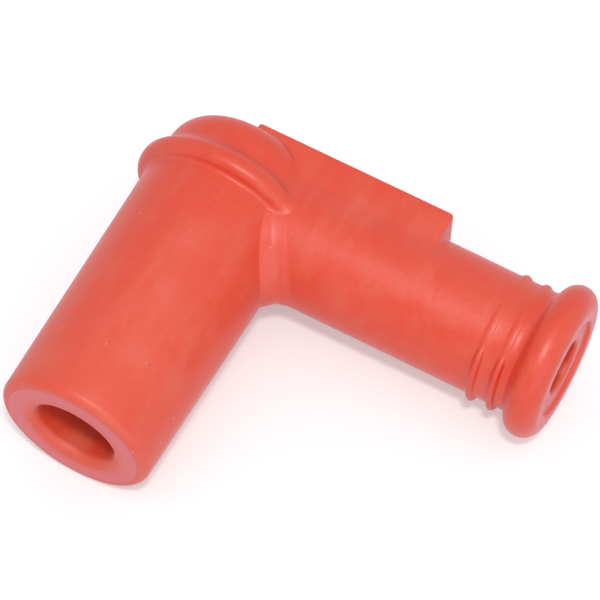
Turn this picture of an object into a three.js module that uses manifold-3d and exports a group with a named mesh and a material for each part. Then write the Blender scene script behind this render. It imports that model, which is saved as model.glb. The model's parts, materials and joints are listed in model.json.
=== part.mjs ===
// A right-angle spark plug cap: a moulded silicone boot with the contact that works inside it.
// Sizes are millimetres. In the drawing frame the axes of the two arms cross at 0, 0, 0,
// X runs out along the cable arm, -Y runs out along the plug arm, and Z is up.
import * as THREE from "three";
import { mergeVertices } from "three/addons/utils/BufferGeometryUtils.js";
import Module from "manifold-3d";

const wasm = await Module();
wasm.setup();

// Plug arm: a sleeve that widens a little from its mouth to the elbow, with a bead and a domed end.
const plugArmLength = 37.15; // mouth face to the cable axis
const mouthRadius = 10.1;
const mouthRounding = 1.1;
const plugArmTopRadius = 10.65;
const collarRadius = 12.15; // the bead round the elbow
const collarHalfWidth = 1.3;
const collarDrop = 0.3; // the bead's middle is this far on the mouth's side of the cable axis
const domeRadius = 10.35;
const domeHeight = 7.9; // flat top to the cable axis
const domeRounding = 4.2;

// Cable arm: a slimmer sleeve with thin ribs and a rolled lip.
const cableArmLength = 47.5; // lip's crest to the plug axis
const cableArmRadius = 8.0;
const cableArmTaper = 0.15; // lost from the radius by the last rib
const ribCount = 2;
const ribHeight = 0.55;
const ribHalfWidth = 0.6;
const ribPitch = 2.75;
const ribSetback = 6.45; // last rib's middle to the lip's crest
const lipRadius = 10.05;
const lipRoll = 2.25; // radius of the rolled section
const recessRadius = 6.3; // shallow step in the lip's face
const recessDepth = 0.45;

// Thumb pad: a flat-sided block along the back of the cable arm.
const padHeight = 8.85; // back face to the cable axis
const padHalfWidth = 7.1;
const padLength = 27.1; // end face to the plug axis
const padRounding = 0.5;

// Brace: a narrow 45 degree facet along the inner corner, where the two arms meet.
const braceLeg = 1.9; // its reach along each arm
const braceSink = 0.1; // its edges lie this far inside the arms
const braceEnd = 85; // degrees round the cable arm, where it has faded out

// Bores in the boot.
const plugBoreRadius = 5.3; // grips the plug's insulator
const plugBoreDepth = 25.15;
const plugBoreRounding = 1.3;
const cableBoreRadius = 3.5; // takes a 7 mm ignition lead
const cableBoreRounding = 0.4;
const clearance = 0.3; // round every metal piece

// Contact barrel: turned brass, with a socket for the plug's terminal nut.
const barrelRadius = 4.5;
const barrelRise = 3.7; // closed end to the cable axis
const barrelChamfer = 0.4;
const socketRadius = 3.35; // over a 6.35 mm terminal nut
const socketRoof = 1.2; // brass left between the socket and the screw's hole
const socketChamfer = 0.6;
const flangeRadius = 5.8; // sits in a groove in the rubber
const flangeThickness = 1.2;

// Snap wire: springs over the waist of the terminal nut from a slotted groove in the barrel.
const wireRadius = 0.35;
const wireBite = 0.9; // how far its straight runs stand into the socket
const wireSetback = 4.2; // from the barrel's open end
const wireGap = 24; // degrees between its two ends
const wireClearance = 0.12;
const grooveWall = 0.4; // brass left under the groove

// Cable screw: a slotted wood screw that the lead is turned onto.
const screwRadius = 2.0;
const screwCoreRadius = 1.3;
const screwPitch = 1.8;
const threadWidth = 0.9; // of the thread's ridge at its root
const screwReach = 24.0; // point to the plug axis
const screwPointLength = 4.5;
const screwTipRadius = 0.1;
const screwHeadRadius = 3.0;
const screwHeadHeight = 1.8;
const screwSlotWidth = 0.9;
const screwSlotDepth = 0.8;
const screwFlat = 0.7; // depth of the flat that the head bears on

// Facets round each turned form.
const armFacets = 56;
const boreFacets = 40;
const metalFacets = 32;
const wireFacets = 8;
const threadFacets = 14;

// Steps along curved forms, and in each arc of a profile.
const threadSteps = 6; // in each turn of thread
const wireSteps = 56;
const braceSteps = 16;
const padSteps = 3;
const throatSteps = 2;
const edgeSteps = 4;
const beadSteps = 5;
const ribSteps = 6;
const domeSteps = 7;
const lipSteps = 10;
const headSteps = 4;

const overrun = 1; // every cutting tool runs out past the face by this

const silicone = new THREE.MeshStandardMaterial({ color: 0xe4553c, roughness: 0.55, metalness: 0 });
const brass = new THREE.MeshStandardMaterial({ color: 0xc9a24a, roughness: 0.35, metalness: 1 });
const springSteel = new THREE.MeshStandardMaterial({ color: 0x9a9ca0, roughness: 0.3, metalness: 1 });
const platedSteel = new THREE.MeshStandardMaterial({ color: 0xb9bcc2, roughness: 0.4, metalness: 1 });

// Solid from a closed geometry, for joining and cutting.
function solid(geometry) {
  const shape = geometry.clone();
  shape.deleteAttribute("normal");
  shape.deleteAttribute("uv");
  const merged = mergeVertices(shape, 1e-4);
  return new wasm.Manifold(
    new wasm.Mesh({
      numProp: 3,
      vertProperties: new Float32Array(merged.attributes.position.array),
      triVerts: new Uint32Array(merged.index.array),
    }),
  );
}

function namedMesh(name, shape, material) {
  const { vertProperties, triVerts } = shape.getMesh();
  const geometry = new THREE.BufferGeometry();
  geometry.setAttribute("position", new THREE.BufferAttribute(new Float32Array(vertProperties), 3));
  geometry.setIndex(new THREE.BufferAttribute(new Uint32Array(triVerts), 1));
  geometry.computeVertexNormals();
  const mesh = new THREE.Mesh(geometry, material);
  mesh.name = name;
  return mesh;
}

// Points of an elliptical arc between two angles in degrees.
function arc(centreX, centreY, radiusX, radiusY, from, to, steps) {
  return Array.from({ length: steps + 1 }, (_, i) => {
    const angle = THREE.MathUtils.degToRad(THREE.MathUtils.lerp(from, to, i / steps));
    return [centreX + radiusX * Math.cos(angle), centreY + radiusY * Math.sin(angle)];
  });
}

function roundArc(centreX, centreY, radius, from, to, steps) {
  return arc(centreX, centreY, radius, radius, from, to, steps);
}

// A profile of [radius, distance] points, turned about the plug axis. It starts and ends on that axis.
function turnedOnPlugAxis(profile, facets) {
  return new THREE.LatheGeometry(profile.map(([r, y]) => new THREE.Vector2(r, y)), facets);
}

// The same, turned about the cable axis.
function turnedOnCableAxis(profile, facets) {
  return turnedOnPlugAxis(profile, facets).rotateZ(-Math.PI / 2);
}

function block(lowX, highX, lowY, highY, lowZ, highZ) {
  return new THREE.BoxGeometry(highX - lowX, highY - lowY, highZ - lowZ).translate(
    (lowX + highX) / 2,
    (lowY + highY) / 2,
    (lowZ + highZ) / 2,
  );
}

// Closed skin over a row of like sections, each a ring of [x, y, z] points.
function lofted(sections) {
  const ring = sections[0].length;
  const last = (sections.length - 1) * ring;
  const index = [];
  for (let i = 0; i + 1 < sections.length; i++) {
    for (let j = 0; j < ring; j++) {
      const [a, b] = [i * ring + j, i * ring + ((j + 1) % ring)];
      index.push(a, b, b + ring, a, b + ring, a + ring);
    }
  }
  for (let j = 1; j + 1 < ring; j++) {
    index.push(0, j + 1, j);
    index.push(last, last + j, last + j + 1);
  }
  const geometry = new THREE.BufferGeometry();
  geometry.setAttribute("position", new THREE.Float32BufferAttribute(sections.flat(2), 3));
  geometry.setIndex(index);
  return geometry;
}

function plugArmRadiusAt(y) {
  const share = -y / plugArmLength;
  return THREE.MathUtils.lerp(plugArmTopRadius, mouthRadius, share);
}

function cableArmRadiusAt(x) {
  return cableArmRadius - (cableArmTaper * x) / (cableArmLength - ribSetback);
}

function plugArm() {
  const mouth = -plugArmLength;
  const overArm = collarRadius - plugArmTopRadius;
  const overDome = collarRadius - domeRadius;
  const profile = [
    [0, mouth],
    ...roundArc(mouthRadius - mouthRounding, mouth + mouthRounding, mouthRounding, -90, 0, edgeSteps),
    ...arc(plugArmTopRadius, -collarDrop, overArm, collarHalfWidth, -90, 0, beadSteps),
    ...arc(domeRadius, -collarDrop, overDome, collarHalfWidth, 0, 90, beadSteps).slice(1),
    ...roundArc(domeRadius - domeRounding, domeHeight - domeRounding, domeRounding, 0, 90, domeSteps),
    [0, domeHeight],
  ];
  return solid(turnedOnPlugAxis(profile, armFacets));
}

function cableArm() {
  const ribs = Array.from({ length: ribCount }, (_, i) => {
    const middle = cableArmLength - ribSetback - (ribCount - 1 - i) * ribPitch;
    return arc(cableArmRadiusAt(middle), middle, ribHeight, ribHalfWidth, -90, 90, ribSteps);
  });
  const lipMiddle = cableArmLength - lipRoll;
  const rollCentre = lipRadius - lipRoll;
  const neckRise = Math.max(0, cableArmRadiusAt(lipMiddle) - rollCentre);
  const neckAngle = THREE.MathUtils.radToDeg(Math.acos(Math.min(1, neckRise / lipRoll)));
  const profile = [
    [0, 0],
    [cableArmRadius, 0],
    ...ribs.flat(),
    ...roundArc(rollCentre, lipMiddle, lipRoll, -neckAngle, 90, lipSteps),
    [0, cableArmLength],
  ];
  return solid(turnedOnCableAxis(profile, armFacets));
}

function thumbPad() {
  const outline = new THREE.Shape();
  outline.moveTo(0, 0);
  outline.lineTo(padLength, 0);
  outline.lineTo(padLength, padHeight - padRounding);
  outline.absarc(padLength - padRounding, padHeight - padRounding, padRounding, 0, Math.PI / 2, false);
  outline.lineTo(0, padHeight);
  outline.closePath();
  const settings = { depth: 2 * padHalfWidth, bevelEnabled: false, curveSegments: padSteps };
  return solid(new THREE.ExtrudeGeometry(outline, settings).translate(0, 0, -padHalfWidth));
}

// The facet follows the curve where the arms meet, and fades out at both sides of the cable arm.
function cornerBrace() {
  const widest = cableArmRadius - braceSink;
  const sections = Array.from({ length: braceSteps + 1 }, (_, i) => {
    const angle = THREE.MathUtils.lerp(-braceEnd, braceEnd, i / braceSteps);
    const z = widest * Math.sin(THREE.MathUtils.degToRad(angle));
    const reach = braceLeg * Math.sqrt(1 - (z / cableArmRadius) ** 4);
    const under = -Math.sqrt(widest ** 2 - z ** 2);
    const beside = Math.sqrt((plugArmRadiusAt(under) - braceSink) ** 2 - z ** 2);
    return [
      [beside - braceLeg, under + braceLeg, z],
      [beside, under - reach - braceSink, z],
      [beside + reach + braceSink, under, z],
    ];
  });
  return solid(lofted(sections));
}

// Distances along the plug axis of the contact barrel's features.
const flangeTop = plugBoreDepth - plugArmLength;
const barrelOpening = flangeTop - flangeThickness;
const screwHoleRadius = screwRadius + clearance;
const socketFloor = -screwHoleRadius - socketRoof;
const wireLevel = barrelOpening + wireSetback;

// Distances along the cable axis of the screw's head, on the elbow's far side.
const headSeat = -(barrelRadius - screwFlat);
const headUnderside = headSeat - clearance;
const headTop = headUnderside - screwHeadHeight;

// Everything that is hollow in the boot.
function hollow() {
  const mouth = -plugArmLength;
  const chamberRadius = barrelRadius + clearance;
  const entryRadius = plugBoreRadius + plugBoreRounding;
  const plugBore = turnedOnPlugAxis(
    [
      [0, mouth - overrun],
      [entryRadius, mouth - overrun],
      ...roundArc(entryRadius, mouth + plugBoreRounding, plugBoreRounding, 270, 180, edgeSteps),
      [plugBoreRadius, barrelOpening - clearance],
      [flangeRadius + clearance, barrelOpening - clearance],
      [flangeRadius + clearance, flangeTop + clearance],
      [chamberRadius, flangeTop + clearance],
      [chamberRadius, barrelRise + clearance],
      [0, barrelRise + clearance],
    ],
    boreFacets,
  );
  const face = cableArmLength - recessDepth;
  const throatRadius = cableBoreRadius + cableBoreRounding;
  const cableBore = turnedOnCableAxis(
    [
      [0, 0],
      [cableBoreRadius, 0],
      ...roundArc(throatRadius, face - cableBoreRounding, cableBoreRounding, 180, 90, throatSteps),
      [recessRadius, face],
      [recessRadius, cableArmLength + overrun],
      [0, cableArmLength + overrun],
    ],
    boreFacets,
  );
  const headPocket = turnedOnCableAxis(
    [
      [0, headTop - clearance],
      [screwHeadRadius + clearance, headTop - clearance],
      [screwHeadRadius + clearance, 0],
      [0, 0],
    ],
    boreFacets,
  );
  return solid(plugBore).add(solid(cableBore)).add(solid(headPocket));
}

function boot() {
  return plugArm().add(cableArm()).add(thumbPad()).add(cornerBrace()).subtract(hollow());
}

// The wire's bends lie in the groove, and its straight runs cross the socket's edge through the slots.
const grooveRadius = socketRadius + grooveWall;
const grooveHalfWidth = wireRadius + wireClearance;
const bendRadius = grooveRadius + wireClearance + wireRadius;
const runOffset = socketRadius - wireBite + wireRadius;

function contactBarrel() {
  const body = turnedOnPlugAxis(
    [
      [0, barrelOpening],
      [flangeRadius, barrelOpening],
      [flangeRadius, flangeTop],
      [barrelRadius, flangeTop],
      [barrelRadius, wireLevel - grooveHalfWidth],
      [grooveRadius, wireLevel - grooveHalfWidth],
      [grooveRadius, wireLevel + grooveHalfWidth],
      [barrelRadius, wireLevel + grooveHalfWidth],
      [barrelRadius, barrelRise - barrelChamfer],
      [barrelRadius - barrelChamfer, barrelRise],
      [0, barrelRise],
    ],
    metalFacets,
  );
  const socket = turnedOnPlugAxis(
    [
      [0, barrelOpening - overrun],
      [socketRadius + socketChamfer, barrelOpening - overrun],
      [socketRadius + socketChamfer, barrelOpening],
      [socketRadius, barrelOpening + socketChamfer],
      [socketRadius, socketFloor],
      [0, socketFloor],
    ],
    metalFacets,
  );
  const screwHole = turnedOnCableAxis(
    [
      [0, -barrelRadius - overrun],
      [screwHoleRadius, -barrelRadius - overrun],
      [screwHoleRadius, barrelRadius + overrun],
      [0, barrelRadius + overrun],
    ],
    metalFacets,
  );
  const flatReach = screwHeadRadius + clearance;
  const headFlat = block(
    -barrelRadius - overrun,
    headSeat,
    -flatReach,
    barrelRise + overrun,
    -barrelRadius,
    barrelRadius,
  );
  const slotFloor = runOffset - wireRadius - wireClearance;
  const slotHalfLength = Math.sqrt(barrelRadius ** 2 - slotFloor ** 2) - grooveWall;
  let barrel = solid(body).subtract(solid(socket)).subtract(solid(screwHole)).subtract(solid(headFlat));
  for (const side of [-1, 1]) {
    const [near, far] = [side * slotFloor, side * (barrelRadius + overrun)];
    const slot = block(
      -slotHalfLength,
      slotHalfLength,
      wireLevel - grooveHalfWidth,
      wireLevel + grooveHalfWidth,
      Math.min(near, far),
      Math.max(near, far),
    );
    barrel = barrel.subtract(solid(slot));
  }
  return barrel;
}

// A round wire bent to a ring with two straight sides, its ends on the side away from the cable.
class WireLine extends THREE.Curve {
  getPoint(share, target = new THREE.Vector3()) {
    const half = THREE.MathUtils.degToRad(180 - wireGap / 2);
    const angle = THREE.MathUtils.lerp(-half, half, share);
    const side = Math.abs(Math.sin(angle)) * bendRadius;
    const radius = side > runOffset ? runOffset / Math.abs(Math.sin(angle)) : bendRadius;
    return target.set(radius * Math.cos(angle), wireLevel, radius * Math.sin(angle));
  }
}

function snapWire() {
  const section = new THREE.Shape();
  section.absarc(0, 0, wireRadius, 0, 2 * Math.PI, false);
  const settings = {
    steps: wireSteps,
    extrudePath: new WireLine(),
    bevelEnabled: false,
    curveSegments: wireFacets,
  };
  return solid(new THREE.ExtrudeGeometry(section, settings));
}

// The thread is a ridge that climbs one pitch in each turn. It fades in at the shank, and the point tapers.
function threadRadiusAt(distance, turn) {
  const phase = distance / screwPitch - turn;
  const fromCrest = Math.abs(phase - Math.round(phase)) * screwPitch;
  const ridge = Math.max(0, 1 - (2 * fromCrest) / threadWidth);
  const fadeIn = THREE.MathUtils.clamp((distance - barrelRadius) / screwPitch, 0, 1);
  const core = THREE.MathUtils.lerp(screwRadius, screwCoreRadius, fadeIn);
  const tip = screwTipRadius / screwRadius;
  const taper = THREE.MathUtils.clamp((screwReach - distance) / screwPointLength, tip, 1);
  return taper * THREE.MathUtils.lerp(core, screwRadius, ridge);
}

function cableScrew() {
  const steps = Math.ceil(((screwReach - barrelRadius) / screwPitch) * threadSteps);
  const sections = Array.from({ length: steps + 1 }, (_, i) => {
    const distance = THREE.MathUtils.lerp(barrelRadius, screwReach, i / steps);
    return Array.from({ length: threadFacets }, (_, j) => {
      const angle = (2 * Math.PI * j) / threadFacets;
      const radius = threadRadiusAt(distance, j / threadFacets);
      return [distance, radius * Math.cos(angle), radius * Math.sin(angle)];
    });
  });
  const shank = turnedOnCableAxis(
    [
      ...arc(0, headUnderside, screwHeadRadius, screwHeadHeight, -90, 0, headSteps),
      [screwRadius, headUnderside],
      [screwRadius, barrelRadius + screwPitch / threadSteps],
      [0, barrelRadius + screwPitch / threadSteps],
    ],
    metalFacets,
  );
  const slot = block(
    headTop - screwHeadHeight,
    headTop + screwSlotDepth,
    -screwSlotWidth / 2,
    screwSlotWidth / 2,
    -screwHeadRadius - clearance,
    screwHeadRadius + clearance,
  );
  return solid(lofted(sections)).add(solid(shank)).subtract(solid(slot));
}

const pieces = new THREE.Group();
pieces.add(
  namedMesh("boot", boot(), silicone),
  namedMesh("contact_barrel", contactBarrel(), brass),
  namedMesh("snap_wire", snapWire(), springSteel),
  namedMesh("cable_screw", cableScrew(), platedSteel),
);

// The cap lies on its side on three points: the bead, the mouth's rim and the lip.
const underBead = new THREE.Vector3(0, -collarDrop, -collarRadius);
const underMouth = new THREE.Vector3(0, mouthRounding - plugArmLength, -mouthRadius);
const underLip = new THREE.Vector3(cableArmLength - lipRoll, 0, -lipRadius);
const table = new THREE.Plane().setFromCoplanarPoints(underBead, underMouth, underLip);
pieces.quaternion.setFromUnitVectors(table.normal, new THREE.Vector3(0, 0, 1));

// The middle of its footprint is over the origin, and its lowest point is on the table.
const cap = new THREE.Group();
cap.add(pieces);
const bounds = new THREE.Box3().setFromObject(cap, true);
const middle = bounds.getCenter(new THREE.Vector3());
pieces.position.set(-middle.x, -middle.y, -bounds.min.z);

export default cap;
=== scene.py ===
"""A right-angle spark plug cap: the moulded silicone boot, and the metal contact inside it.

Sizes are metres. In the drawing frame the axes of the two arms cross at 0, 0, 0, X runs out along
the cable arm, -Y runs out along the plug arm, and Z is up. Each piece is modelled there and is then
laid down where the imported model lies.
"""
import json
import math

import bpy
import numpy as np
from mathutils import Matrix, Vector


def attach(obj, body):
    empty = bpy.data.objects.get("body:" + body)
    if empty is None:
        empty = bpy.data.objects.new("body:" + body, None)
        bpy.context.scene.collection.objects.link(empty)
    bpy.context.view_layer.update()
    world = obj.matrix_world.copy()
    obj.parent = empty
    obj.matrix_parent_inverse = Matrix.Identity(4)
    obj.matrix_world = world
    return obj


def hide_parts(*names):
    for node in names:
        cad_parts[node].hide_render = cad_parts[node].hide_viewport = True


bl_info = {
    "name": "Spark Plug Cap",
    "version": (1, 0, 0),
    "blender": (4, 5, 0),
    "location": "3D View > Sidebar > Cap",
    "description": "Models a right-angle silicone spark plug cap with its contact, and lights it",
    "category": "Add Mesh",
}

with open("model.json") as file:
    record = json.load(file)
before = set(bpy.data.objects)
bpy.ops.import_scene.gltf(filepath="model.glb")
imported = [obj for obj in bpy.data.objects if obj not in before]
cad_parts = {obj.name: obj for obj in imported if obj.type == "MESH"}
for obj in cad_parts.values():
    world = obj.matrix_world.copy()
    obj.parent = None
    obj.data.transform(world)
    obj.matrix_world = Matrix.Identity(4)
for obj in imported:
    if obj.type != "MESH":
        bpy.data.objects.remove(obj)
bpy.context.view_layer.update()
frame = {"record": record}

MM = 0.001
OVERRUN = 2 * MM  # every cutting tool runs out past the face by this


def length(name, millimetres, description):
    """A length that the user can change."""
    return bpy.props.FloatProperty(
        name=name,
        description=description,
        default=millimetres * MM,
        min=0.0,
        precision=5,
        subtype="DISTANCE",
    )


def colour(name, red, green, blue, description):
    """A linear colour that the user can change."""
    return bpy.props.FloatVectorProperty(
        name=name,
        description=description,
        default=(red, green, blue),
        min=0.0,
        max=1.0,
        size=3,
        subtype="COLOR",
    )


class PlugArmSizes(bpy.types.PropertyGroup):
    """The sleeve over the spark plug, with the bead and the dome at its elbow end."""

    reach: length("Length", 37.15, "Mouth face to the cable axis")
    mouth_radius: length("Mouth radius", 10.1, "Outside radius at the mouth")
    mouth_rounding: length("Mouth rounding", 1.15, "Rounding of the mouth's outer edge")
    top_radius: length("Top radius", 10.65, "Outside radius under the bead")
    bead_radius: length("Bead radius", 12.15, "Outside radius of the bead")
    bead_half_width: length("Bead half width", 1.3, "Half the width of the bead")
    bead_drop: length("Bead drop", 0.3, "Middle of the bead to the cable axis")
    shoulder: length("Shoulder", 3.3, "Length of the slope from the bead's crest to the dome")
    dome_radius: length("Dome radius", 10.35, "Radius of the arm above the bead")
    dome_height: length("Dome height", 7.9, "Top of the dome to the cable axis")
    dome_rounding: length("Dome rounding", 4.2, "Rounding of the dome's edge")


class CableArmSizes(bpy.types.PropertyGroup):
    """The sleeve over the ignition lead, with its ribs and rolled lip."""

    reach: length("Length", 47.5, "Lip's crest to the plug axis")
    radius: length("Radius", 8.0, "Outside radius at the elbow")
    taper: length("Taper", 0.15, "Lost from the radius by the last rib")
    rib_height: length("Rib height", 0.12, "Height of a rib on the two faces of the cap")
    rib_inner: length("Rib at the inner seam", 0.74, "Rib's height by the mould's inner seam")
    rib_outer: length("Rib at the outer seam", 0.38, "Rib's height by the mould's outer seam")
    rib_half_width: length("Rib half width", 0.5, "Half the width of a rib")
    rib_pitch: length("Rib pitch", 2.75, "From one rib to the next")
    rib_setback: length("Rib setback", 6.45, "Middle of the last rib to the lip's crest")
    lip_radius: length("Lip radius", 10.05, "Outside radius of the rolled lip")
    lip_roll: length("Lip roll", 2.25, "Radius of the lip's rolled section")
    recess_radius: length("Recess radius", 6.3, "Radius of the shallow step in the lip's face")
    recess_depth: length("Recess depth", 0.45, "Depth of that step")
    lip_fillet: length("Lip fillet", 0.7, "Fillet between the lip and the arm")


class ElbowSizes(bpy.types.PropertyGroup):
    """The thumb pad and the blends between the arms."""

    pad_height: length("Pad height", 8.85, "Back face of the pad to the cable axis")
    pad_half_width: length("Pad half width", 7.1, "Half the distance between the pad's sides")
    pad_reach: length("Pad length", 27.1, "End face of the pad to the plug axis")
    pad_rounding: length("Pad rounding", 0.5, "Rounding of the pad's edges")
    pad_fillet: length("Pad fillet", 0.45, "Fillet between the pad and the cable arm")
    facet_leg: length("Facet leg", 1.9, "Reach of the inner corner's facet along each arm")
    facet_fillet: length("Facet fillet", 1.0, "Fillet between the facet and the cable arm")
    blend: length("Blend", 0.4, "Fillet where the arms meet")
    bead_blend: length("Bead blend", 0.8, "Fillet where bead and dome meet the cable arm")
    crease: length("Crease", 0.25, "Fillet beside the ribs, the dome and under the bead")


class BoreSizes(bpy.types.PropertyGroup):
    """The hollows of the boot."""

    plug_radius: length("Plug bore radius", 5.3, "Bore that grips the plug's insulator")
    plug_depth: length("Plug bore depth", 25.15, "Mouth face to the seat of the contact")
    plug_rounding: length("Plug bore rounding", 1.3, "Rounding of the plug bore's edge")
    cable_radius: length("Cable bore radius", 3.5, "Bore that takes the ignition lead")
    cable_rounding: length("Cable bore rounding", 0.4, "Rounding of the cable bore's edge")
    clearance: length("Clearance", 0.3, "Gap round every metal piece")


class ContactSizes(bpy.types.PropertyGroup):
    """The brass barrel and its snap wire."""

    barrel_radius: length("Barrel radius", 4.5, "Outside radius of the barrel")
    barrel_rise: length("Barrel rise", 3.7, "Closed end of the barrel to the cable axis")
    barrel_chamfer: length("Barrel chamfer", 0.4, "Chamfer of the barrel's closed end")
    flange_radius: length("Flange radius", 5.8, "Outside radius of the flange")
    flange_thickness: length("Flange thickness", 1.2, "Thickness of the flange")
    socket_radius: length("Socket radius", 3.35, "Socket for the plug's terminal nut")
    socket_roof: length("Socket roof", 1.2, "Brass between the socket and the screw's hole")
    socket_chamfer: length("Socket chamfer", 0.6, "Chamfer of the socket's opening")
    wire_radius: length("Wire radius", 0.35, "Radius of the snap wire")
    wire_bite: length("Wire bite", 0.9, "How far the wire's straight runs stand into the socket")
    wire_setback: length("Wire setback", 4.2, "Wire to the open end of the barrel")
    wire_clearance: length("Wire clearance", 0.12, "Gap between the wire and its groove")
    wire_gap: bpy.props.FloatProperty(
        name="Wire gap",
        description="Angle between the two ends of the snap wire",
        default=math.radians(24.0),
        min=0.0,
        subtype="ANGLE",
    )
    groove_wall: length("Groove wall", 0.4, "Brass left under the wire's groove")


class ScrewSizes(bpy.types.PropertyGroup):
    """The wood screw that the ignition lead is turned onto."""

    radius: length("Screw radius", 2.0, "Outside radius of the thread")
    core_radius: length("Core radius", 1.3, "Radius at the root of the thread")
    pitch: length("Pitch", 1.8, "From one turn of thread to the next")
    thread_width: length("Thread width", 0.9, "Width of the thread's ridge at its root")
    reach: length("Reach", 24.0, "Point of the screw to the plug axis")
    point: length("Point length", 4.5, "Length of the tapered point")
    tip_radius: length("Tip radius", 0.1, "Radius of the point's tip")
    head_radius: length("Head radius", 3.0, "Radius of the head")
    head_height: length("Head height", 1.8, "Height of the domed head")
    slot_width: length("Slot width", 0.9, "Width of the driver's slot")
    slot_depth: length("Slot depth", 0.8, "Depth of the driver's slot")
    seat_depth: length("Seat depth", 0.7, "Depth of the flat that the head bears on")


class CapFinish(bpy.types.PropertyGroup):
    """Colours of the cap."""

    silicone: colour("Silicone", 0.72, 0.04, 0.006, "Red-orange of the moulded silicone")
    # The paler film lies in random patches and streaks, and rises towards the mouth.
    bloom: colour("Bloom", 0.73, 0.12, 0.066, "Paler film on the silicone where it is handled")
    speck: colour("Specks", 0.92, 0.50, 0.42, "Dust on the silicone")
    # Painted shade in the pits; the same dark also draws the mould line round the mouth.
    pit_shade_and_mould_line: colour("Pits", 0.52, 0.035, 0.018, "Dark of the pits in the silicone")
    # Painted reflection: the pale lavender sheen that the flat ring of the mouth shows at a low
    # angle, painted into its colour.
    painted_ring_sheen: colour("Chalk", 0.72, 0.13, 0.15, "Chalky film on the flat ring of the mouth")
    sheen: colour("Sheen", 0.58, 0.6, 1.0, "Cool sheen of the silicone at a low angle")
    brass: colour("Brass", 0.66, 0.45, 0.15, "Turned brass of the barrel")
    tarnish: colour("Tarnish", 0.52, 0.34, 0.11, "Darker film on the brass")
    spring: colour("Spring steel", 0.44, 0.44, 0.45, "Drawn wire of the snap wire")
    plate: colour("Zinc plate", 0.58, 0.59, 0.62, "Plated steel of the screw")


SIZE_GROUPS = {
    "plug_arm": PlugArmSizes,
    "cable_arm": CableArmSizes,
    "elbow": ElbowSizes,
    "bores": BoreSizes,
    "contact": ContactSizes,
    "screw": ScrewSizes,
    "finish": CapFinish,
}


class CapSettings(bpy.types.PropertyGroup):
    """All the settings of the cap."""

    plug_arm: bpy.props.PointerProperty(type=PlugArmSizes)
    cable_arm: bpy.props.PointerProperty(type=CableArmSizes)
    elbow: bpy.props.PointerProperty(type=ElbowSizes)
    bores: bpy.props.PointerProperty(type=BoreSizes)
    contact: bpy.props.PointerProperty(type=ContactSizes)
    screw: bpy.props.PointerProperty(type=ScrewSizes)
    finish: bpy.props.PointerProperty(type=CapFinish)
    grain: length("Skin grain", 0.2, "Size of the first cells of the boot's skin")
    skin_faces: bpy.props.IntProperty(
        name="Skin triangles",
        description="Triangles left in the boot's skin",
        default=185000,
        min=10000,
        max=195000,
    )


def lay_down():
    """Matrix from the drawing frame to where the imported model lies, from its two flat faces."""
    cap = bpy.context.scene.cap
    mounts = {m["name"]: m for m in frame["record"]["mounts"]}
    along_cable = Vector(mounts["cable_lip"]["axis"]).normalized()
    along_plug = Vector(mounts["plug_mouth"]["axis"]).normalized()
    up = along_plug.cross(along_cable).normalized()
    on_mouth = Vector(mounts["plug_mouth"]["pos_m"])
    on_lip = Vector(mounts["cable_lip"]["pos_m"])
    turn = Matrix((along_cable, -along_plug, up)).transposed()
    elbow = Vector(
        (
            along_cable.dot(on_lip) - cap.cable_arm.reach,
            cap.plug_arm.reach - along_plug.dot(on_mouth),
            up.dot(on_mouth),
        )
    )
    return Matrix.Translation(turn @ elbow) @ turn.to_4x4()


def flange_top():
    """Level of the contact's seat on the plug axis."""
    cap = bpy.context.scene.cap
    return cap.bores.plug_depth - cap.plug_arm.reach


def barrel_opening():
    """Level of the barrel's open end on the plug axis."""
    return flange_top() - bpy.context.scene.cap.contact.flange_thickness


def head_seat():
    """Place of the flat that the screw's head bears on, on the cable axis."""
    cap = bpy.context.scene.cap
    return cap.screw.seat_depth - cap.contact.barrel_radius


def head_top():
    """Place of the top of the screw's head, on the cable axis."""
    cap = bpy.context.scene.cap
    return head_seat() - cap.bores.clearance - cap.screw.head_height


def deselect():
    """Leaves object mode with nothing selected."""
    if bpy.context.object and bpy.context.object.mode != "OBJECT":
        bpy.ops.object.mode_set(mode="OBJECT")
    bpy.ops.object.select_all(action="DESELECT")


def choose(piece):
    """Makes a piece the only selected one."""
    deselect()
    piece.select_set(True)
    bpy.context.view_layer.objects.active = piece


def bevel_edges(piece, keep, offset, segments):
    """Rounds the edges of which both ends pass a test of their place."""
    choose(piece)
    bpy.ops.object.mode_set(mode="EDIT")
    bpy.ops.mesh.select_mode(type="EDGE")
    bpy.ops.mesh.select_all(action="DESELECT")
    bpy.ops.object.mode_set(mode="OBJECT")
    mesh = piece.data
    for edge in mesh.edges:
        edge.select = all(keep(mesh.vertices[i].co) for i in edge.vertices)
    bpy.ops.object.mode_set(mode="EDIT")
    bpy.ops.mesh.bevel(offset=offset, segments=segments, profile=0.5, affect="EDGES")
    bpy.ops.object.mode_set(mode="OBJECT")


def apply_modifier(piece, kind, **settings):
    """Adds a modifier, sets it up and applies it."""
    choose(piece)
    modifier = piece.modifiers.new(kind.title(), kind)
    for key, value in settings.items():
        setattr(modifier, key, value)
    bpy.ops.object.modifier_apply(modifier=modifier.name)


def combine(piece, other, operation):
    """Joins another closed piece to this one, or cuts it out, and deletes the other."""
    apply_modifier(piece, "BOOLEAN", operation=operation, object=other, solver="EXACT")
    mesh = other.data
    bpy.data.objects.remove(other)
    bpy.data.meshes.remove(mesh)


# Direction and turn of each axis, and how many sides a bar and a ring on it have. All four numbers
# differ, so that no two forms share a corner point.
AXES = {
    "X": (Vector((1.0, 0.0, 0.0)), (0.0, math.pi / 2, 0.0), 118, 109),
    "Y": (Vector((0.0, 1.0, 0.0)), (-math.pi / 2, 0.0, 0.0), 128, 119),
}


def primitive(add, **settings):
    """A new primitive with its place kept in its mesh."""
    deselect()
    add(**settings)
    bpy.ops.object.transform_apply(location=True, rotation=True, scale=True)
    return bpy.context.object


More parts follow.
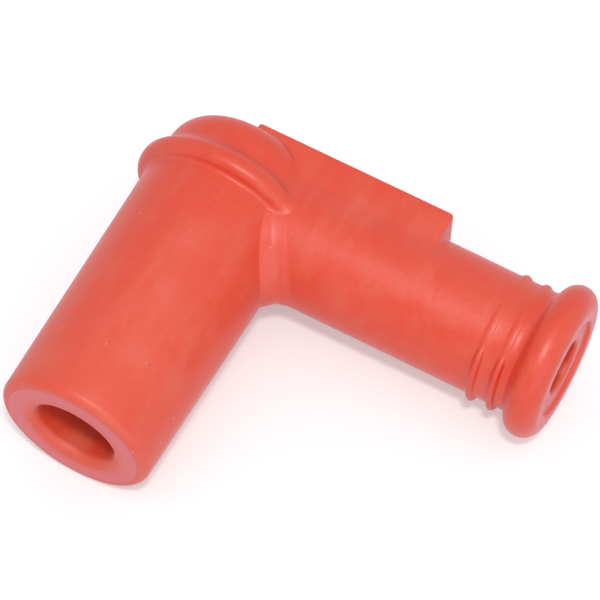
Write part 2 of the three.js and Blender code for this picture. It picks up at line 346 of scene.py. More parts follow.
def rod(axis, low, high, radius, vertices=None):
    """A round bar on the X or Y axis of the drawing frame."""
    along, turn, sides, _ = AXES[axis]
    return primitive(
        bpy.ops.mesh.primitive_cylinder_add,
        vertices=vertices or sides,
        radius=radius,
        depth=high - low,
        location=along * (low + high) / 2,
        rotation=turn,
    )


def ring(axis, middle, major, minor):
    """A round ring about the X or Y axis of the drawing frame."""
    along, turn, _, sides = AXES[axis]
    return primitive(
        bpy.ops.mesh.primitive_torus_add,
        major_radius=major,
        minor_radius=minor,
        major_segments=sides,
        minor_segments=24,
        location=along * middle,
        rotation=turn,
    )


def block(low, high):
    """A box between two corners of the drawing frame."""
    low, high = Vector(low), Vector(high)
    add = bpy.ops.mesh.primitive_cube_add
    return primitive(add, size=1.0, location=(low + high) / 2, scale=high - low)


def turned(axis, profile, vertices):
    """A closed piece turned about an axis: a disc is extruded and resized from station to station.

    The profile is a row of pairs, a place on the axis and a radius, from one end to the other.
    """
    along, turn, _, _ = AXES[axis]
    place, radius = profile[0]
    piece = primitive(
        bpy.ops.mesh.primitive_circle_add,
        vertices=vertices,
        radius=radius,
        fill_type="NGON",
        location=along * place,
        rotation=turn,
    )
    bpy.ops.object.mode_set(mode="EDIT")
    bpy.ops.mesh.select_all(action="SELECT")
    for next_place, next_radius in profile[1:]:
        step = along * (next_place - place)
        bpy.ops.mesh.extrude_region_move(TRANSFORM_OT_translate={"value": step})
        share = next_radius / radius
        bpy.ops.transform.resize(value=(share, share, share), center_override=along * next_place)
        place, radius = next_place, next_radius
    bpy.ops.mesh.select_all(action="SELECT")
    bpy.ops.mesh.normals_make_consistent(inside=False)
    bpy.ops.object.mode_set(mode="OBJECT")
    return piece


def ramp(value, low, high):
    """Smooth rise from 0 at the low value to 1 at the high one."""
    share = np.clip((value - low) / (high - low), 0.0, 1.0)
    return share**3 * (share * (share * 6.0 - 15.0) + 10.0)


def join_distance(a, b, fillet):
    """Distance to two forms joined with a fillet of that radius in the corner between them."""
    corner = np.hypot(np.maximum(fillet - a, 0.0), np.maximum(fillet - b, 0.0))
    return np.maximum(fillet, np.minimum(a, b)) - corner


def cut_distance(a, b, rounding):
    """Distance to the first form with the second cut out of it, its edge rounded."""
    corner = np.hypot(np.maximum(rounding + a, 0.0), np.maximum(rounding - b, 0.0))
    return np.minimum(-rounding, np.maximum(a, -b)) + corner


def rod_distance(along, out, low, high, radius, low_rounding=0.0, high_rounding=0.0):
    """Distance to a round bar with rounded ends, from the places along its axis and out from it."""
    middle = (low + high) / 2
    rounding = np.where(along < middle, low_rounding, high_rounding)
    past_side = out - radius + rounding
    past_end = np.abs(along - middle) - (high - low) / 2 + rounding
    outside = np.hypot(np.maximum(past_side, 0.0), np.maximum(past_end, 0.0))
    return outside + np.minimum(np.maximum(past_side, past_end), 0.0) - rounding


def bead_distance(along, out, middle, base, height, half_width, fullness=2.0):
    """Distance to a rounded bead on a bar of the base radius; fullness 2 is an ellipse."""
    least = 0.02
    up = np.maximum(np.abs(out - base) / height, least)
    aside = np.maximum(np.abs(along - middle) / half_width, least)
    share = (up**fullness + aside**fullness) ** (1.0 / fullness)
    rise = (up / share) ** (fullness - 1) / height
    run = (aside / share) ** (fullness - 1) / half_width
    return (share - 1.0) / np.hypot(rise, run)


def block_distance(points, low, high, rounding):
    """Distance to a box with rounded edges."""
    low, high = np.array(low), np.array(high)
    past = np.abs(points - (low + high) / 2) - (high - low) / 2 + rounding
    outside = np.linalg.norm(np.maximum(past, 0.0), axis=1)
    return outside + np.minimum(past.max(axis=1), 0.0) - rounding


class BootForm:
    """The true form of the boot, as its distance from any point of the drawing frame."""

    far = 1.0
    # How far towards a seam a rib starts to rise and is full, as a share of the radius.
    rib_rise = 0.6
    rib_full = 0.87
    # Width of a rib on the two faces of the cap, as a share of its width by the seams.
    rib_slim = 0.75
    bead_fullness = 2.3
    # How much wider the bead is towards the mouth than towards the dome.
    bead_lean = 1.1

    def __init__(self, cap):
        self.plug = cap.plug_arm
        self.cable = cap.cable_arm
        self.elbow = cap.elbow
        self.bores = cap.bores
        self.contact = cap.contact
        self.screw = cap.screw
        last = self.cable.reach - self.cable.rib_setback
        self.ribs = [last - i * self.cable.rib_pitch for i in range(2)]

    def cable_radius(self, x):
        share = x / (self.cable.reach - self.cable.rib_setback)
        return self.cable.radius - self.cable.taper * share

    def plug_radius(self, y):
        share = np.clip(-y / self.plug.reach, 0.0, 1.0)
        return self.plug.top_radius + (self.plug.mouth_radius - self.plug.top_radius) * share

    def sleeve(self, x, y, z):
        """Distance to the cable arm with its ribs and lip."""
        cable, elbow = self.cable, self.elbow
        out = np.hypot(y, z)
        tube = rod_distance(x, out, 0.0, cable.reach - cable.lip_roll, self.cable_radius(x))
        inward = -y / np.maximum(out, MM)
        by_seam = ramp(np.abs(inward), self.rib_rise, self.rib_full)
        at_seam = np.where(inward > 0.0, cable.rib_inner, cable.rib_outer)
        height = cable.rib_height + (at_seam - cable.rib_height) * by_seam
        half = cable.rib_half_width * (self.rib_slim + (1.0 - self.rib_slim) * by_seam)
        for rib in self.ribs:
            over = bead_distance(x, out, rib, self.cable_radius(rib), height, half)
            tube = join_distance(tube, over, elbow.crease)
        roll = cable.lip_roll
        lip = rod_distance(x, out, cable.reach - 2 * roll, cable.reach, cable.lip_radius, roll, roll)
        return join_distance(tube, lip, cable.lip_fillet)

    def plug_side(self, y, out):
        """Distance to the plug arm, and to it with its bead and dome."""
        plug = self.plug
        arm = rod_distance(y, out, -plug.reach, 0.0, self.plug_radius(y), plug.mouth_rounding, 0.0)
        base = (plug.top_radius + plug.dome_radius) / 2
        height = plug.bead_radius - base
        crest, half = -plug.bead_drop, plug.bead_half_width
        half = np.where(y < crest, half * self.bead_lean, half)
        bead = bead_distance(y, out, crest, base, height, half, self.bead_fullness)
        fall = ramp(y, crest, crest + plug.shoulder)
        radius = plug.bead_radius + (plug.dome_radius - plug.bead_radius) * fall
        edge = plug.dome_rounding
        dome = rod_distance(y, out, crest, plug.dome_height, radius, 0.0, edge)
        return arm, np.minimum(join_distance(arm, bead, 2 * self.elbow.crease), dome)

    def outside(self, points):
        """Distance to the boot without its bores."""
        x, y, z = points.T
        plug, elbow = self.plug, self.elbow
        arm, head = self.plug_side(y, np.hypot(x, z))
        sleeve = self.sleeve(x, y, z)
        by_bead = np.clip((y + 2 * plug.bead_half_width) / plug.bead_half_width, 0.0, 1.0)
        form = join_distance(head, sleeve, elbow.blend + (elbow.bead_blend - elbow.blend) * by_bead)
        fade = np.sqrt(np.clip(1.0 - (z / self.cable.radius) ** 2, 0.0, 1.0))
        leg = np.where(y < 0.0, elbow.facet_leg * fade, 0.0)
        facet = (arm + sleeve - leg) * math.sqrt(0.5)
        by_sleeve = np.clip((arm - sleeve) / elbow.facet_leg, 0.0, 1.0)
        form = join_distance(form, facet, elbow.facet_fillet * by_sleeve)
        low = (0.0, 0.0, -elbow.pad_half_width)
        high = (elbow.pad_reach, elbow.pad_height, elbow.pad_half_width)
        pad = block_distance(points, low, high, elbow.pad_rounding)
        past_dome = np.clip((x - plug.dome_radius) / (2 * elbow.pad_fillet), 0.0, 1.0)
        return join_distance(form, pad, elbow.crease + (elbow.pad_fillet - elbow.crease) * past_dome)

    def distance(self, points):
        """Distance to the boot with its bores."""
        x, y, z = points.T
        plug, cable, bores, contact = self.plug, self.cable, self.bores, self.contact
        off_plug = np.hypot(x, z)
        off_cable = np.hypot(y, z)
        gap = bores.clearance
        seat = flange_top()
        form = self.outside(points)
        bore = rod_distance(y, off_plug, -self.far, seat, bores.plug_radius)
        near_mouth = y < seat - plug.mouth_radius
        form = cut_distance(form, bore, np.where(near_mouth, bores.plug_rounding, 0.0))
        groove_radius = contact.flange_radius + gap
        groove = rod_distance(y, off_plug, barrel_opening() - gap, seat + gap, groove_radius)
        top = contact.barrel_rise + gap
        chamber = rod_distance(y, off_plug, seat, top, contact.barrel_radius + gap)
        pocket_end = head_top() - gap
        pocket = rod_distance(x, off_cable, pocket_end, 0.0, self.screw.head_radius + gap)
        for hollow in (groove, chamber, pocket):
            form = np.maximum(form, -hollow)
        face = cable.reach - cable.recess_depth
        recess = rod_distance(x, off_cable, face, self.far, cable.recess_radius)
        form = cut_distance(form, recess, self.elbow.crease)
        throat = rod_distance(x, off_cable, 0.0, self.far, bores.cable_radius)
        near_lip = x > cable.reach - 2 * cable.lip_roll
        return cut_distance(form, throat, np.where(near_lip, bores.cable_rounding, 0.0))


def settle(piece, form, rounds):
    """Moves each vertex of a skin onto the true form, down the slope of its distance."""
    mesh = piece.data
    points = np.empty(len(mesh.vertices) * 3)
    mesh.vertices.foreach_get("co", points)
    points = points.reshape(-1, 3)
    step = 0.01 * MM
    longest = 0.15 * MM
    shallowest = 0.05
    for _ in range(rounds):
        here = form.distance(points)
        slope = np.empty_like(points)
        for axis in range(3):
            ahead = points.copy()
            ahead[:, axis] += step
            slope[:, axis] = (form.distance(ahead) - here) / step
        steepness = np.maximum((slope**2).sum(axis=1), shallowest)
        move = -slope * (here / steepness)[:, None]
        size = np.linalg.norm(move, axis=1)
        move *= np.minimum(1.0, longest / np.maximum(size, 1e-12))[:, None]
        points += move
    mesh.vertices.foreach_set("co", points.ravel())
    mesh.update()


def smooth(piece, degrees):
    """Smooth shading, with the edges that turn by more than this angle left crisp."""
    choose(piece)
    bpy.ops.object.shade_smooth_by_angle(angle=math.radians(degrees))


def finish_piece(piece, name, node, material):
    """Lays a finished piece down in its place, names it, hides the imported node it stands in for,
    and gives it its body and finish.
    """
    piece.data.transform(lay_down())
    piece.data.update()
    piece.name = name
    piece.data.name = name
    piece.data.materials.clear()
    piece.data.materials.append(material)
    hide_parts(node)
    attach(piece, "root")


def feed(tree, socket, value):
    """Links a socket to an output, or sets its value."""
    if isinstance(value, bpy.types.NodeSocket):
        tree.links.new(value, socket)
    else:
        socket.default_value = value


def fill_in(tree, node, **inputs):
    """Sets or links the inputs of a node; a space in a name is written as a low line."""
    for key, value in inputs.items():
        name = key.replace("_", " ")
        feed(tree, next(s for s in node.inputs if s.name == name and s.enabled), value)


def new_node(tree, kind, settings=None, **inputs):
    """Adds a shader node, with its own settings and the values or links of its inputs."""
    node = tree.nodes.new(kind)
    for key, value in (settings or {}).items():
        setattr(node, key, value)
    fill_in(tree, node, **inputs)
    return node


def new_group(name, values, result):
    """A node group that takes a place and these values, and gives one result."""
    tree = bpy.data.node_groups.new(name, "ShaderNodeTree")
    add = tree.interface.new_socket
    add(name="Vector", in_out="INPUT", socket_type="NodeSocketVector")
    for value in values:
        add(name=value, in_out="INPUT", socket_type="NodeSocketFloat")
    add(name=result, in_out="OUTPUT", socket_type="NodeSocketFloat")
    given = tree.nodes.new("NodeGroupInput").outputs
    return tree, given, tree.nodes.new("NodeGroupOutput").inputs[0]


def use_group(tree, name, **inputs):
    """Places one of the shared groups in a material."""
    group = bpy.data.node_groups[name]
    return new_node(tree, "ShaderNodeGroup", {"node_tree": group}, **inputs).outputs[0]


def math_node(tree, operation, *values, kind="ShaderNodeMath", output="Value"):
    """Result of a calculation with values or links."""
    node = new_node(tree, kind, {"operation": operation})
    for socket, value in zip(node.inputs, values):
        feed(tree, socket, value)
    return node.outputs[output]


def noise(tree, vector, scale, detail=2.0):
    """A soft random pattern."""
    return new_node(tree, "ShaderNodeTexNoise", Vector=vector, Scale=scale, Detail=detail).outputs[0]


def product(tree, first, second):
    """Two values or links multiplied."""
    return math_node(tree, "MULTIPLY", first, second)


def total(tree, first, second):
    """Two values or links added."""
    return math_node(tree, "ADD", first, second)


def spread(tree, value, low, high, top=1.0, kind="SMOOTHSTEP"):
    """A mask that rises from 0 at the low level of a value to the top at the high one."""
    node = new_node(
        tree,
        "ShaderNodeMapRange",
        {"interpolation_type": kind},
        Value=value,
        From_Min=low,
        From_Max=high,
        To_Max=top,
    )
    return node.outputs[0]


def mix_colour(tree, share, first, second):
    """Colour between two colours or links, by a mask."""
    node = new_node(tree, "ShaderNodeMix", {"data_type": "RGBA"})
    tree.links.new(share, node.inputs["Factor"])
    sockets = [s for s in node.inputs if s.enabled and s.type == "RGBA"]
    for socket, value in zip(sockets, (first, second)):
        feed(tree, socket, value if isinstance(value, bpy.types.NodeSocket) else (*value, 1.0))
    return next(s for s in node.outputs if s.enabled)


def stretch(tree, vector, scale):
    """Places stretched along the axes, so that a pattern runs in streaks."""
    return new_node(tree, "ShaderNodeMapping", Vector=vector, Scale=scale).outputs[0]


def make_clouding():
    """Soft patches: a mask that is 0 below one level of a noise and 1 above another."""
    tree, given, mask = new_group("clouding", ("Scale", "Detail", "Low", "High"), "Mask")
    pattern = noise(tree, given["Vector"], given["Scale"], given["Detail"])
    tree.links.new(spread(tree, pattern, given["Low"], given["High"]), mask)


def make_specks():
    """Scattered round specks: a mask that is 1 within the size of some of a pattern's points."""
    tree, given, mask = new_group("specks", ("Scale", "Size", "Share"), "Mask")
    wobble_scale = 5.0
    wobble = 0.05
    core = 0.5
    rough = noise(tree, given["Vector"], product(tree, given["Scale"], wobble_scale))
    points = new_node(tree, "ShaderNodeTexVoronoi", Vector=given["Vector"], Scale=given["Scale"])
    distance = total(tree, points.outputs["Distance"], product(tree, rough, wobble))
    rim = total(tree, given["Size"], wobble)
    spot = spread(tree, distance, rim, product(tree, given["Size"], core))
    pick = new_node(tree, "ShaderNodeSeparateColor", Color=points.outputs["Color"])
    chosen = math_node(tree, "LESS_THAN", pick.outputs[0], given["Share"])
    tree.links.new(product(tree, spot, chosen), mask)


def make_grain():
    """Surface height with a fine and a coarse part."""
    tree, given, height = new_group("grain", ("Fine", "Coarse", "Coarse Share"), "Height")
    fine = noise(tree, given["Vector"], given["Fine"], detail=3.0)
    coarse = noise(tree, given["Vector"], given["Coarse"])
    tree.links.new(total(tree, fine, product(tree, coarse, given["Coarse Share"])), height)


def start_material(name):
    """A material with its shader, and with a link that gives places in the drawing frame."""
    material = bpy.data.materials.new(name)
    material.use_nodes = True
    tree = material.node_tree
    shader = tree.nodes["Principled BSDF"]
    place = lay_down()
    where = tree.nodes.new("ShaderNodeTexCoord").outputs["Object"]
    drawing = new_node(
        tree,
        "ShaderNodeMapping",
        {"vector_type": "TEXTURE"},
        Vector=where,
        Location=place.translation,
        Rotation=place.to_euler(),
    )
    return material, tree, shader, drawing.outputs[0]


def bloom_film(tree, vector, level):
    """A mask of the paler film: patches, streaks along the plug arm, and more towards the mouth."""
    broad_share = 0.34
    fine_share = 0.12
    mouth_pale_share = 0.25
    mouth_pale_from, mouth_pale_to = -6 * MM, -36 * MM
    drawn_out = stretch(tree, vector, (1.0, 0.25, 1.0))
    clouds = {"tree": tree, "name": "clouding"}
    patches = use_group(**clouds, Vector=vector, Scale=130.0, Detail=4.0, Low=0.42, High=0.72)
    streaks = use_group(**clouds, Vector=drawn_out, Scale=420.0, Detail=3.0, Low=0.45, High=0.8)
    fine = use_group(**clouds, Vector=vector, Scale=1500.0, Detail=2.0, Low=0.35, High=0.75)
    film = product(tree, total(tree, patches, streaks), broad_share)
    film = total(tree, film, product(tree, fine, fine_share))
    return total(tree, film, spread(tree, level, mouth_pale_from, mouth_pale_to, mouth_pale_share, "LINEAR"))


def dirt_mask(tree, vector, level):
    """A mask of the dust all over, and of the crumbs near the mouth."""
    dust_strength = 0.6
    crumbs_from, crumbs_full = -25 * MM, -34 * MM
    dust = use_group(tree, "specks", Vector=vector, Scale=330.0, Size=0.045, Share=0.2)
    drawn_out = stretch(tree, vector, (1.0, 0.6, 1.0))
    crumbs = use_group(tree, "specks", Vector=drawn_out, Scale=620.0, Size=0.09, Share=0.4)
    by_mouth = spread(tree, level, crumbs_from, crumbs_full, kind="LINEAR")
    crumbs = product(tree, crumbs, by_mouth)
    return math_node(tree, "MAXIMUM", product(tree, dust, dust_strength), crumbs)


def mouth_masks(tree, vector, level):
    """Masks of the flat ring of the mouth, where a pale sheen is painted, and of the fine line round
    it, left by the mould.
    """
    cap = bpy.context.scene.cap
    plug, bores = cap.plug_arm, cap.bores
    face_depth = 0.3 * MM
    half_line = 0.07 * MM
    fade_in = 0.6 * MM
    fade_out = 1.2 * MM
    across = (1.0, 0.0, 1.0)
    kind = "ShaderNodeVectorMath"
    flat = math_node(tree, "MULTIPLY", vector, across, kind=kind, output="Vector")
    out = math_node(tree, "LENGTH", flat, kind=kind)
    apart = math_node(tree, "SUBTRACT", out, plug.mouth_radius - plug.mouth_rounding)
    thin = math_node(tree, "LESS_THAN", math_node(tree, "ABSOLUTE", apart), half_line)
    at_face = math_node(tree, "LESS_THAN", level, face_depth - plug.reach)
    bore_edge = bores.plug_radius + bores.plug_rounding
    off_edge = spread(tree, out, bore_edge - fade_in, bore_edge + fade_out)
    inside = product(tree, math_node(tree, "LESS_THAN", apart, 0.0), at_face)
    return product(tree, inside, off_edge), product(tree, thin, at_face)


def silicone_material(finish):
    """Satin red-orange silicone with a paler bloom, pits painted darker as shade, dust, and a
    painted pale sheen on the flat ring at the mouth.
    """
    material, tree, shader, vector = start_material("silicone")
    least_roughness = 0.41
    dulled_by_film = 0.2
    relief = 2.0
    level = new_node(tree, "ShaderNodeSeparateXYZ", Vector=vector).outputs["Y"]
    film = bloom_film(tree, vector, level)
    pits = use_group(tree, "specks", Vector=vector, Scale=260.0, Size=0.06, Share=0.16)
    dirt = dirt_mask(tree, vector, level)
    flat, line = mouth_masks(tree, vector, level)
    shade = mix_colour(tree, film, finish.silicone, finish.bloom)
    for mask, strength, tone in (
        # Painted shade: the pits are darkened, as well as being sunk in the relief.
        (pits, 0.5, finish.pit_shade_and_mould_line),
        (dirt, 0.8, finish.speck),
        # Painted reflection: the flat ring of the mouth is coloured with a pale sheen.
        (flat, 0.7, finish.painted_ring_sheen),
        (line, 0.45, finish.pit_shade_and_mould_line),
    ):
        shade = mix_colour(tree, product(tree, mask, strength), shade, tone)
    height = use_group(tree, "grain", Vector=vector, Fine=2600.0, Coarse=520.0, Coarse_Share=1.2)
    raised = total(tree, height, product(tree, dirt, relief))
    sunk = math_node(tree, "SUBTRACT", raised, product(tree, pits, relief))
    bump = new_node(tree, "ShaderNodeBump", Height=sunk, Strength=0.7, Distance=0.03 * MM)
    fill_in(
        tree,
        shader,
        Base_Color=shade,
        Roughness=total(tree, product(tree, film, dulled_by_film), least_roughness),
        Normal=bump.outputs[0],
        IOR=1.42,
        Specular_IOR_Level=1.0,
        Sheen_Weight=0.3,
        Sheen_Roughness=0.25,
        Sheen_Tint=(*finish.sheen, 1.0),
    )
    return material


def metal_material(name, clean, dull, stretching, roughness, fine):
    """Metal with marks that run one way and a patchy film."""
    material, tree, shader, vector = start_material(name)
    dulled_by_film = 0.18
    marks = use_group(
        tree,
        "grain",
        Vector=stretch(tree, vector, stretching),
        Fine=fine,
        Coarse=fine / 6,
        Coarse_Share=0.6,
    )
    film = use_group(tree, "clouding", Vector=vector, Scale=500.0, Detail=4.0, Low=0.35, High=0.75)
    bump = new_node(tree, "ShaderNodeBump", Height=marks, Strength=0.3, Distance=0.02 * MM)
    fill_in(
        tree,
        shader,
        Base_Color=mix_colour(tree, film, clean, dull),
        Metallic=1.0,
        Roughness=total(tree, product(tree, film, dulled_by_film), roughness),
        Normal=bump.outputs[0],
    )
    return material


class CAP_OT_finishes(bpy.types.Operator):
    """Make the shared surface effects"""

    bl_idname = "cap.finishes"
    bl_label = "Surface effects"

    def execute(self, context):
        make_clouding()
        make_specks()
        make_grain()
        return {"FINISHED"}


class CAP_OT_boot(bpy.types.Operator):
    """Model the moulded silicone boot"""

    bl_idname = "cap.boot"
    bl_label = "Boot"

    def execute(self, context):
        cap = context.scene.cap
        form = BootForm(cap)
        boot = self.solid_form(cap, form)
        for tool in self.hollow_tools(cap):
            combine(boot, tool, "DIFFERENCE")
        apply_modifier(boot, "REMESH", mode="VOXEL", voxel_size=cap.grain)
        settle(boot, form, rounds=6)
        share = cap.skin_faces / (2 * len(boot.data.polygons))
        apply_modifier(boot, "DECIMATE", ratio=share, use_collapse_triangulate=True)
        settle(boot, form, rounds=3)
        smooth(boot, degrees=70.0)
        finish_piece(boot, "silicone_boot", "boot", silicone_material(cap.finish))
        return {"FINISHED"}

    def solid_form(self, cap, form):
        """The two arms, the bead, the ribs, the lip and the pad as one rough solid."""
        plug, cable, elbow = cap.plug_arm, cap.cable_arm, cap.elbow
        boot = rod("Y", -plug.reach, plug.dome_height, plug.dome_radius)
        bevel_edges(boot, lambda co: co.y > plug.dome_height - MM, plug.dome_rounding, segments=8)
        bevel_edges(boot, lambda co: co.y < MM - plug.reach, plug.mouth_rounding, segments=4)
        base = (plug.top_radius + plug.dome_radius) / 2
        combine(boot, ring("Y", -plug.bead_drop, base, plug.bead_half_width), "UNION")
        combine(boot, rod("X", 0.0, cable.reach - cable.lip_roll, cable.radius), "UNION")
        for rib in form.ribs:
            combine(boot, ring("X", rib, cable.radius - cable.taper, cable.rib_half_width), "UNION")
        lip = rod("X", cable.reach - 2 * cable.lip_roll, cable.reach, cable.lip_radius)
        roll_share = 0.9  # the two bevels keep a flat between them
        bevel_edges(lip, lambda co: True, roll_share * cable.lip_roll, segments=6)
        combine(boot, lip, "UNION")
        low = (0.0, 0.0, -elbow.pad_half_width)
        high = (elbow.pad_reach, elbow.pad_height, elbow.pad_half_width)
        combine(boot, block(low, high), "UNION")
        return boot

    def hollow_tools(self, cap):
        """The solids that are cut out of the boot."""
        plug, cable, bores, contact = cap.plug_arm, cap.cable_arm, cap.bores, cap.contact
        gap = bores.clearance
        yield rod("Y", -plug.reach - OVERRUN, flange_top(), bores.plug_radius)
        yield rod("Y", barrel_opening() - gap, flange_top() + gap, contact.flange_radius + gap)
        yield rod("Y", flange_top(), contact.barrel_rise + gap, contact.barrel_radius + gap)
        yield rod("X", head_top() - gap, 0.0, cap.screw.head_radius + gap)
        yield rod("X", 0.0, cable.reach + OVERRUN, bores.cable_radius)
        yield rod("X", cable.reach - cable.recess_depth, cable.reach + OVERRUN, cable.recess_radius)


class CAP_OT_contact_barrel(bpy.types.Operator):
    """Model the turned brass barrel that takes the plug's terminal nut"""

    bl_idname = "cap.contact_barrel"
    bl_label = "Contact barrel"

    def execute(self, context):
        cap = context.scene.cap
        contact, screw, gap = cap.contact, cap.screw, cap.bores.clearance
        opening, seat, rise = barrel_opening(), flange_top(), contact.barrel_rise
        groove = contact.socket_radius + contact.groove_wall
        half = contact.wire_radius + contact.wire_clearance
        wire = opening + contact.wire_setback
        radius, chamfer = contact.barrel_radius, contact.barrel_chamfer
        barrel = turned(
            "Y",
            [
                (opening, contact.flange_radius),
                (seat, contact.flange_radius),
                (seat, radius),
                (wire - half, radius),
                (wire - half, groove),
                (wire + half, groove),
                (wire + half, radius),
                (rise - chamfer, radius),
                (rise, radius - chamfer),
            ],
            vertices=96,
        )
        hole = screw.radius + gap
        floor = -hole - contact.socket_roof
        cone = contact.socket_chamfer
        socket = turned(
            "Y",
            [
                (opening - OVERRUN, contact.socket_radius + cone),
                (opening, contact.socket_radius + cone),
                (opening + cone, contact.socket_radius),
                (floor, contact.socket_radius),
            ],
            vertices=96,
        )
        combine(barrel, socket, "DIFFERENCE")
        past = radius + OVERRUN
        combine(barrel, rod("X", -past, past, hole, vertices=64), "DIFFERENCE")
        flat_reach = screw.head_radius + gap
        flat = block((-past, -flat_reach, -radius), (head_seat(), rise + OVERRUN, radius))
        combine(barrel, flat, "DIFFERENCE")
        slot_floor = contact.socket_radius - contact.wire_bite - contact.wire_clearance
        slot_half = math.sqrt(radius**2 - slot_floor**2) - contact.groove_wall
        for side in (-1, 1):
            low_z, high_z = sorted((side * slot_floor, side * past))
            slot = block((-slot_half, wire - half, low_z), (slot_half, wire + half, high_z))
            combine(barrel, slot, "DIFFERENCE")
        edge_break = 0.06 * MM
        apply_modifier(barrel, "BEVEL", width=edge_break, segments=2, limit_method="ANGLE")
        smooth(barrel, degrees=40.0)
        brass, tarnish = cap.finish.brass, cap.finish.tarnish
        lathed = (0.05, 1.0, 0.05)
        material = metal_material("brass", brass, tarnish, lathed, roughness=0.28, fine=4000.0)
        finish_piece(barrel, "contact_barrel", "contact_barrel", material)
        return {"FINISHED"}


class CAP_OT_snap_wire(bpy.types.Operator):
    """Model the bent wire that snaps over the waist of the terminal nut"""

    bl_idname = "cap.snap_wire"
    bl_label = "Snap wire"

    def execute(self, context):
        cap = context.scene.cap
        contact = cap.contact
        level = barrel_opening() + contact.wire_setback
        groove = contact.socket_radius + contact.groove_wall
        bend = groove + contact.wire_clearance + contact.wire_radius
        run = contact.socket_radius - contact.wire_bite + contact.wire_radius
        deselect()
        bpy.ops.curve.primitive_nurbs_path_add(location=(0.0, 0.0, 0.0))
        wire = context.object
        wire.data.splines.clear()
        steps = 96
        spline = wire.data.splines.new("POLY")
        spline.points.add(steps)
        half = math.pi - contact.wire_gap / 2
        for i, point in enumerate(spline.points):
            angle = half * (2 * i / steps - 1)
            side = abs(math.sin(angle))
            radius = run / side if side * bend > run else bend
            point.co = (radius * math.cos(angle), level, radius * math.sin(angle), 1.0)
        wire.data.dimensions = "3D"
        wire.data.bevel_depth = contact.wire_radius
        wire.data.bevel_resolution = 4
        wire.data.use_fill_caps = True
        choose(wire)
        bpy.ops.object.convert(target="MESH")
        wire = context.object
        bpy.ops.object.mode_set(mode="EDIT")
        bpy.ops.mesh.select_all(action="SELECT")
        bpy.ops.mesh.remove_doubles(threshold=MM / 1000)
        bpy.ops.mesh.normals_make_consistent(inside=False)
        bpy.ops.object.mode_set(mode="OBJECT")
        smooth(wire, degrees=40.0)
        steel = cap.finish.spring
        drawn = (0.2, 1.0, 1.0)
        material = metal_material("spring_steel", steel, steel, drawn, roughness=0.25, fine=3000.0)
        finish_piece(wire, "snap_wire", "snap_wire", material)
        return {"FINISHED"}


class CAP_OT_cable_screw(bpy.types.Operator):
    """Model the wood screw that the ignition lead is turned onto"""

    bl_idname = "cap.cable_screw"
    bl_label = "Cable screw"

    steps_per_turn = 16
    head_steps = 10

    def execute(self, context):
        cap = context.scene.cap
        screw = cap.screw
        start = cap.contact.barrel_radius
        underside = head_seat() - cap.bores.clearance
        tall, wide = screw.head_height, screw.head_radius
        head = []
        for i in range(1, self.head_steps + 1):
            angle = math.pi / 2 * i / self.head_steps
            head.append((underside - tall * math.cos(angle), wide * math.sin(angle)))
        run = screw.reach - start
        steps = round(run / screw.pitch * self.steps_per_turn)
        shank = [(start + run * i / steps, screw.radius) for i in range(steps + 1)]
        piece = turned("X", [*head, (underside, screw.radius), *shank], vertices=48)
        self.cut_thread(piece, screw, start)
        half = screw.slot_width / 2
        reach = screw.head_radius + OVERRUN
        top = head_top()
        slot = block((top - MM, -half, -reach), (top + screw.slot_depth, half, reach))
        combine(piece, slot, "DIFFERENCE")
        smooth(piece, degrees=50.0)
        zinc = cap.finish.plate
        drawn = (0.1, 1.0, 1.0)
        material = metal_material("plated_steel", zinc, zinc, drawn, roughness=0.3, fine=3000.0)
        finish_piece(piece, "cable_screw", "cable_screw", material)
        return {"FINISHED"}

    def cut_thread(self, piece, screw, start):
        """Draws the shank's rings in to the thread: a ridge that climbs one pitch in each turn."""
        for vertex in piece.data.vertices:
            x, y, z = vertex.co
            if x < start:
                continue
            phase = x / screw.pitch - math.atan2(z, y) / (2 * math.pi)
            from_crest = abs(phase - round(phase)) * screw.pitch
            ridge = max(0.0, 1.0 - 2 * from_crest / screw.thread_width)
            fade_in = min(1.0, (x - start) / screw.pitch)
            core = screw.radius + (screw.core_radius - screw.radius) * fade_in
            radius = core + (screw.radius - core) * ridge
            taper = max(screw.tip_radius / screw.radius, min(1.0, (screw.reach - x) / screw.point))
            share = radius * taper / math.hypot(y, z)
            vertex.co = (x, y * share, z * share)
        piece.data.update()


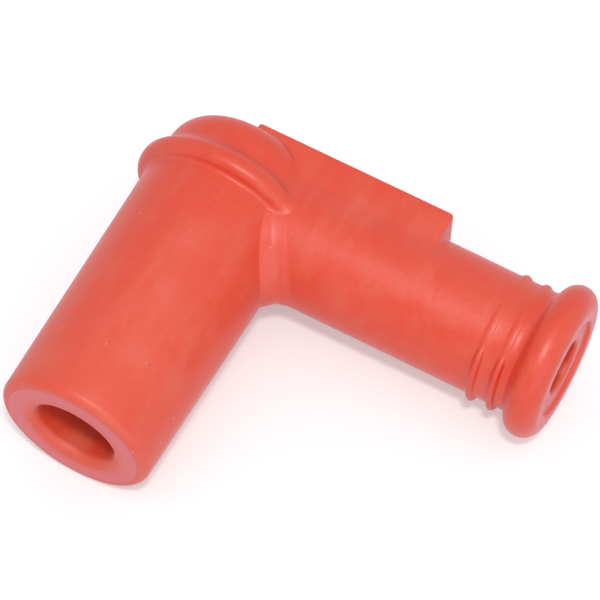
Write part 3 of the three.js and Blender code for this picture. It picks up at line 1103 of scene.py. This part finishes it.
class CAP_OT_stage(bpy.types.Operator):
    """Make the floor, the lamps and the camera"""

    bl_idname = "cap.stage"
    bl_label = "Stage"

    ambient = (0.62, 0.63, 0.66)
    floor_albedo = 0.78
    floor_lift = 0.3

    def execute(self, context):
        context.scene.view_settings.view_transform = "Standard"
        self.make_camera(context)
        self.make_floor(context)
        self.make_world(context)
        warm = (1.0, 0.98, 0.95)
        cool = (0.55, 0.76, 1.0)
        lamp = self.make_lamp
        lamp("key", (0.22, -0.34, 0.93), distance=0.7, size=0.06, energy=1.7, tint=warm)
        lamp("soft_box", (0.14, -0.20, 0.95), distance=0.8, size=0.8, energy=0.6, tint=warm)
        lamp("fill", (0.78, -0.60, 0.06), distance=0.8, size=0.9, energy=2.5, tint=cool)
        return {"FINISHED"}

    def make_camera(self, context):
        """The camera of the photo: it looks down on the cap at 56 degrees from its front right."""
        data = bpy.data.cameras.new("camera")
        data.lens = 195.24
        data.sensor_width = 36.0
        data.clip_start = 0.01
        camera = bpy.data.objects.new("camera", data)
        target = Vector((-3.2115, 6.4111, 11.0)) * MM
        distance = 397.876 * MM
        tilt, roll, heading = 33.6046, -0.258, 28.7004
        camera.rotation_euler = [math.radians(angle) for angle in (tilt, roll, heading)]
        camera.location = target + camera.rotation_euler.to_matrix() @ Vector((0.0, 0.0, distance))
        context.scene.collection.objects.link(camera)
        context.scene.camera = camera

    def seen_directly(self, tree):
        """A mask of the rays that show a background: direct, mirrored or passed through."""
        path = tree.nodes.new("ShaderNodeLightPath").outputs
        mirrored = math_node(tree, "MAXIMUM", path["Is Glossy Ray"], path["Is Transmission Ray"])
        return math_node(tree, "MAXIMUM", path["Is Camera Ray"], mirrored)

    def make_floor(self, context):
        """A plain white floor that keeps the shadow and is lifted to white where it is seen."""
        deselect()
        bpy.ops.mesh.primitive_plane_add(size=6.0, location=(0.0, 0.0, 0.0))
        floor = context.object
        floor.name = "floor"
        material = bpy.data.materials.new("floor")
        material.use_nodes = True
        tree = material.node_tree
        tree.nodes.clear()
        white = (*[self.floor_albedo] * 3, 1.0)
        matte = new_node(tree, "ShaderNodeBsdfDiffuse", Color=white)
        lift = product(tree, self.seen_directly(tree), self.floor_lift)
        glow = new_node(tree, "ShaderNodeEmission", Strength=lift)
        both = tree.nodes.new("ShaderNodeAddShader")
        tree.links.new(matte.outputs[0], both.inputs[0])
        tree.links.new(glow.outputs[0], both.inputs[1])
        new_node(tree, "ShaderNodeOutputMaterial", Surface=both.outputs[0])
        floor.data.materials.append(material)

    def make_world(self, context):
        """Even light from all round, seen as white."""
        world = bpy.data.worlds.new("studio")
        context.scene.world = world
        world.use_nodes = True
        tree = world.node_tree
        shown = mix_colour(tree, self.seen_directly(tree), self.ambient, (1.0, 1.0, 1.0))
        fill_in(tree, tree.nodes["Background"], Color=shown)

    def make_lamp(self, name, direction, distance, size, energy, tint):
        """A square lamp in that direction from the cap, facing it."""
        towards = Vector(direction)
        data = bpy.data.lights.new(name, "AREA")
        data.size = size
        data.energy = energy
        data.color = tint
        lamp = bpy.data.objects.new(name, data)
        lamp.location = towards.normalized() * distance
        lamp.rotation_euler = towards.to_track_quat("Z", "Y").to_euler()
        bpy.context.scene.collection.objects.link(lamp)


BUILD_STEPS = (
    CAP_OT_finishes,
    CAP_OT_boot,
    CAP_OT_contact_barrel,
    CAP_OT_snap_wire,
    CAP_OT_cable_screw,
    CAP_OT_stage,
)


class CAP_PT_panel(bpy.types.Panel):
    """Lists the steps that build the cap, and its sizes"""

    bl_idname = "CAP_PT_panel"
    bl_label = "Spark plug cap"
    bl_space_type = "VIEW_3D"
    bl_region_type = "UI"
    bl_category = "Cap"

    def draw(self, context):
        layout = self.layout
        for step in BUILD_STEPS:
            layout.operator(step.bl_idname)
        cap = context.scene.cap
        for name, group in SIZE_GROUPS.items():
            box = layout.box()
            box.label(text=name.replace("_", " ").capitalize())
            for key in group.__annotations__:
                box.prop(getattr(cap, name), key)


CLASSES = (*SIZE_GROUPS.values(), CapSettings, *BUILD_STEPS, CAP_PT_panel)


def register():
    for cls in CLASSES:
        bpy.utils.register_class(cls)
    bpy.types.Scene.cap = bpy.props.PointerProperty(type=CapSettings)


def unregister():
    del bpy.types.Scene.cap
    for cls in reversed(CLASSES):
        bpy.utils.unregister_class(cls)


def main():
    register()
    bpy.ops.cap.finishes()
    bpy.ops.cap.boot()
    bpy.ops.cap.contact_barrel()
    bpy.ops.cap.snap_wire()
    bpy.ops.cap.cable_screw()
    bpy.ops.cap.stage()


if __name__ == "__main__":
    main()
